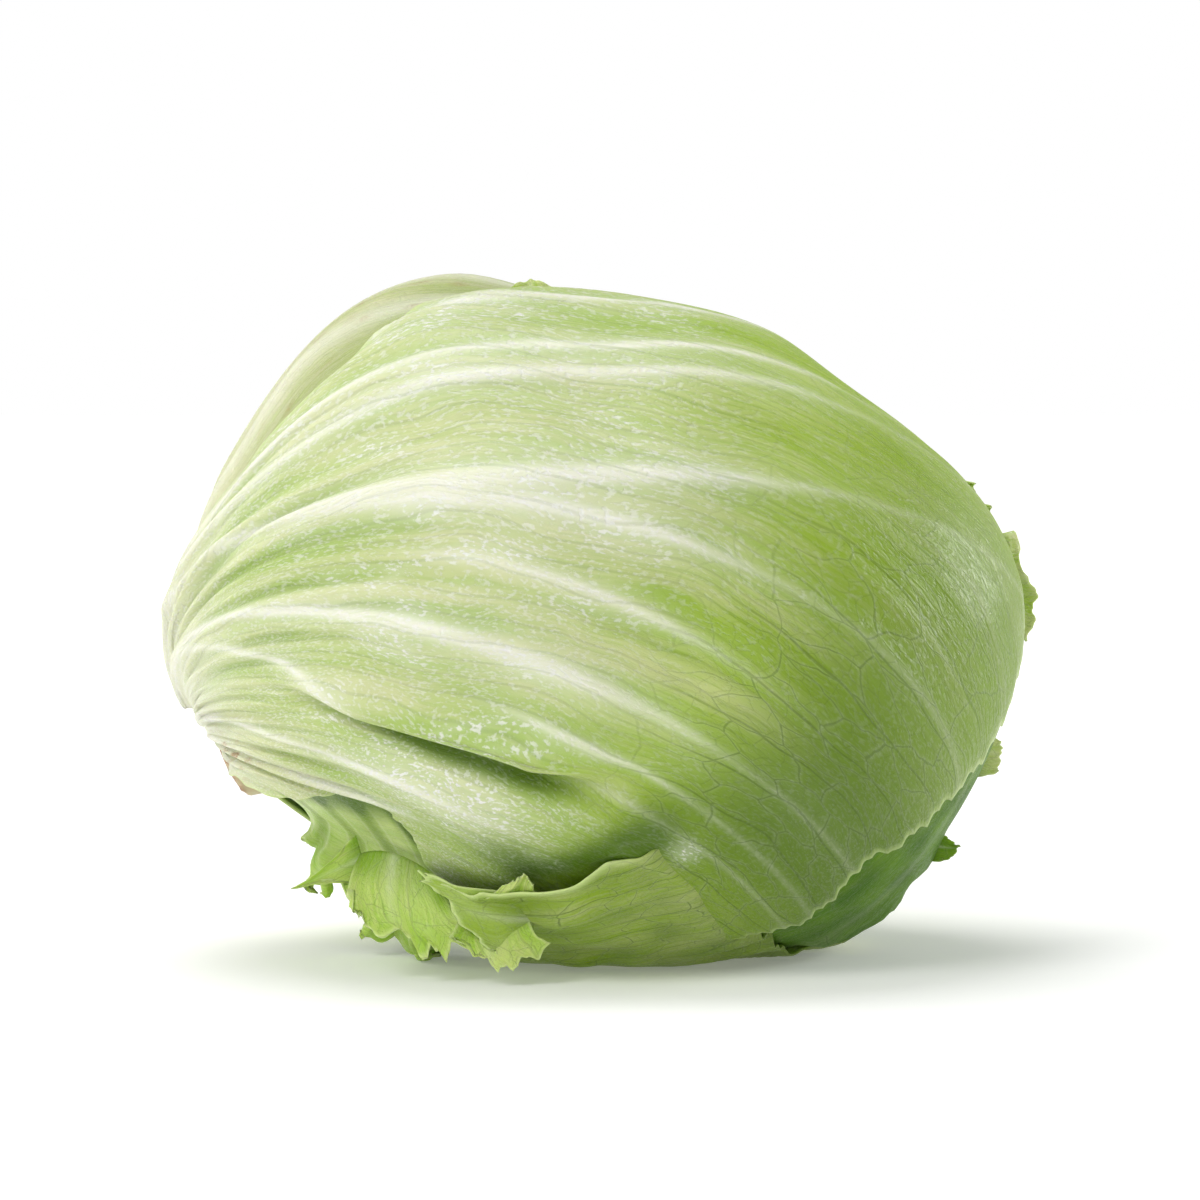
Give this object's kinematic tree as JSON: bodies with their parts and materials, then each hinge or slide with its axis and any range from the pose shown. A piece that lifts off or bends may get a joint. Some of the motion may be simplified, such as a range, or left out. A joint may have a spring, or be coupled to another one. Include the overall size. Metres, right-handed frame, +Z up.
{
  "type": "iceberg lettuce",
  "caption": "Whole round head of crisp pale green lettuce lying on its side, with wrapped ribbed leaves, a frilled lower leaf and a cut stem end.",
  "frame": {"origin": "on the surface below the middle of the head, on the small flat spot that the head rests on", "axes": "+Z up, +X from the cut stem end across the head to the leaf tips, -Y towards the front"},
  "size_m": [0.1712, 0.1492, 0.1345],
  "materials": {
    "stem_cut": "matt, cut plant flesh that browns at its edge",
    "heart_leaf": "satin, pale folded leaves",
    "leaf_front": "wet gloss, pale at the butt and ribs",
    "leaf_top": "wet gloss, pale",
    "leaf_frilled": "wet gloss, bright yellow green",
    "leaf_dark": "wet gloss, dark green",
    "leaf_under": "wet gloss, mid green",
    "leaf_back": "wet gloss, mid green with pale ribs"
  },
  "bodies": {
    "root": {"stem": "stem_cut", "heart": "heart_leaf", "front_leaf": "leaf_front", "top_leaf": "leaf_top", "frilled_leaf": "leaf_frilled", "dark_leaf": "leaf_dark", "under_leaf": "leaf_under", "back_leaf": "leaf_back"}
  },
  "joints": []
}
